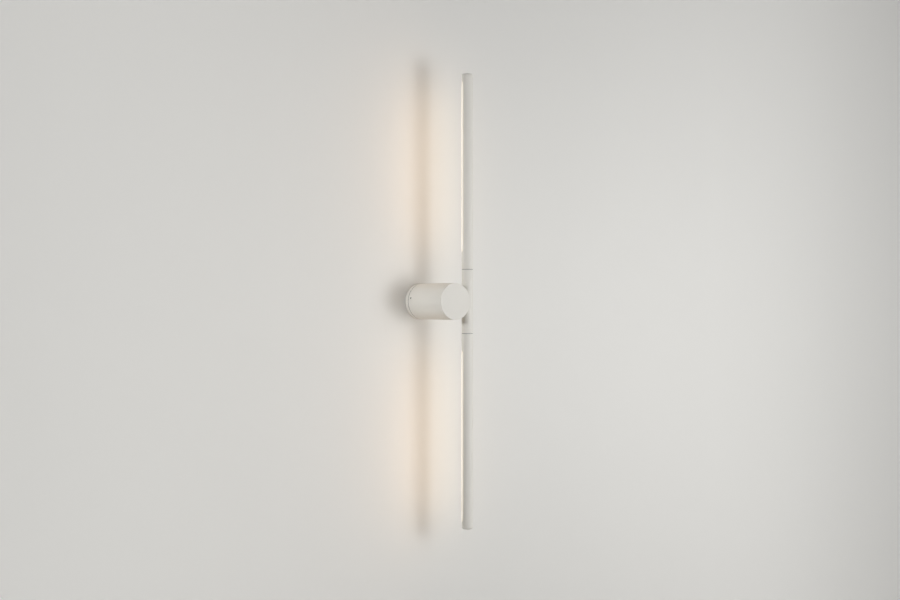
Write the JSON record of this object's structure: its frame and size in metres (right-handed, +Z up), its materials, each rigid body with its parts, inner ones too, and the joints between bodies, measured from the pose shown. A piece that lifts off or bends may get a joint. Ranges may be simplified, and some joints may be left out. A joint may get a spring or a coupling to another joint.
{
  "type": "tube wall light",
  "caption": "Slim vertical tube light held beside a round hub on a wall base; its lit arms turn on the tube axis and the hub turns on the base.",
  "frame": {"origin": "on the hub axis, in the plane of the wall", "axes": "+Z up along the tube, +Y into the wall, +X towards the side of the hub that holds the tube"},
  "size_m": [0.099, 0.1295, 1],
  "materials": {
    "white_coat": "fine matt powder coat, warm white",
    "opal": "satin opal polycarbonate, lit from behind",
    "black_washer": "matt black nylon",
    "black_screws": "black oxide steel",
    "zinc_plate": "zinc-plated sheet steel",
    "zinc_screws": "bright zinc plating",
    "steel_pin": "turned and ground steel",
    "spring_steel": "oiled spring steel",
    "bare_aluminium": "turned and extruded, uncoated",
    "brass": "turned, uncoated",
    "nylon": "natural moulded nylon",
    "black_rubber": "matt moulded rubber",
    "driver_case": "fine-textured moulded case",
    "white_lead": "smooth silicone insulation",
    "board_white": "white solder mask",
    "led_package": "phosphor-filled silicone"
  },
  "bodies": {
    "base": {"wall_bracket": "zinc_plate", "base_flange": "white_coat", "flange_screws": "zinc_screws", "cable_grommet": "black_rubber", "hub_stop_pin": "steel_pin", "hub_friction_washer": "spring_steel", "hub_circlip": "spring_steel"},
    "hub": {"centre_sleeve": "white_coat", "cross_nipple": "brass", "driver_screws": "zinc_screws", "driver_tray": "zinc_plate", "earth_terminal": "brass", "feed_leads": "white_lead", "grub_screws": "black_screws", "hub_cup": "white_coat", "lead_splice": "nylon", "led_driver": "driver_case", "lower_arm_friction_washer": "spring_steel", "lower_arm_stop_pin": "steel_pin", "lower_branch_lead": "white_lead", "lower_seam_washer": "black_washer", "lower_sleeve_plug": "bare_aluminium", "lower_spindle": "steel_pin", "lower_spindle_circlip": "spring_steel", "nipple_nut": "brass", "nipple_washer": "spring_steel", "output_lead": "white_lead", "spigot_bush": "nylon", "swivel_ring": "bare_aluminium", "tee_block": "bare_aluminium", "terminal_block": "nylon", "terminal_screws": "zinc_screws", "tray_screws": "zinc_screws", "upper_arm_friction_washer": "spring_steel", "upper_arm_stop_pin": "steel_pin", "upper_branch_lead": "white_lead", "upper_seam_washer": "black_washer", "upper_sleeve_plug": "bare_aluminium", "upper_spindle": "steel_pin", "upper_spindle_circlip": "spring_steel"},
    "upper_arm": {"upper_arm_tube": "white_coat", "upper_arm_plug": "bare_aluminium", "upper_diffuser": "opal", "upper_end_cap": "white_coat", "upper_led_carrier": "bare_aluminium", "upper_led_board": "board_white", "upper_board_screws": "zinc_screws", "upper_board_connector": "nylon", "upper_arm_lead": "white_lead", "upper_led_chips": "led_package"},
    "lower_arm": {"lower_arm_tube": "white_coat", "lower_arm_plug": "bare_aluminium", "lower_diffuser": "opal", "lower_end_cap": "white_coat", "lower_led_carrier": "bare_aluminium", "lower_led_board": "board_white", "lower_board_screws": "zinc_screws", "lower_board_connector": "nylon", "lower_arm_lead": "white_lead", "lower_led_chips": "led_package"}
  },
  "joints": [
    {"name": "hub_swivel", "type": "hinge", "parent": "base", "child": "hub", "pos_m": [0, 0, 0], "axis": [0, 1, 0], "range_deg": [-170, 170]},
    {"name": "upper_arm_turn", "type": "hinge", "parent": "hub", "child": "upper_arm", "pos_m": [0.0465, -0.112, 0], "axis": [0, 0, 1], "range_deg": [-210, 120]},
    {"name": "lower_arm_turn", "type": "hinge", "parent": "hub", "child": "lower_arm", "pos_m": [0.0465, -0.112, 0], "axis": [0, 0, 1], "range_deg": [-210, 120]}
  ]
}
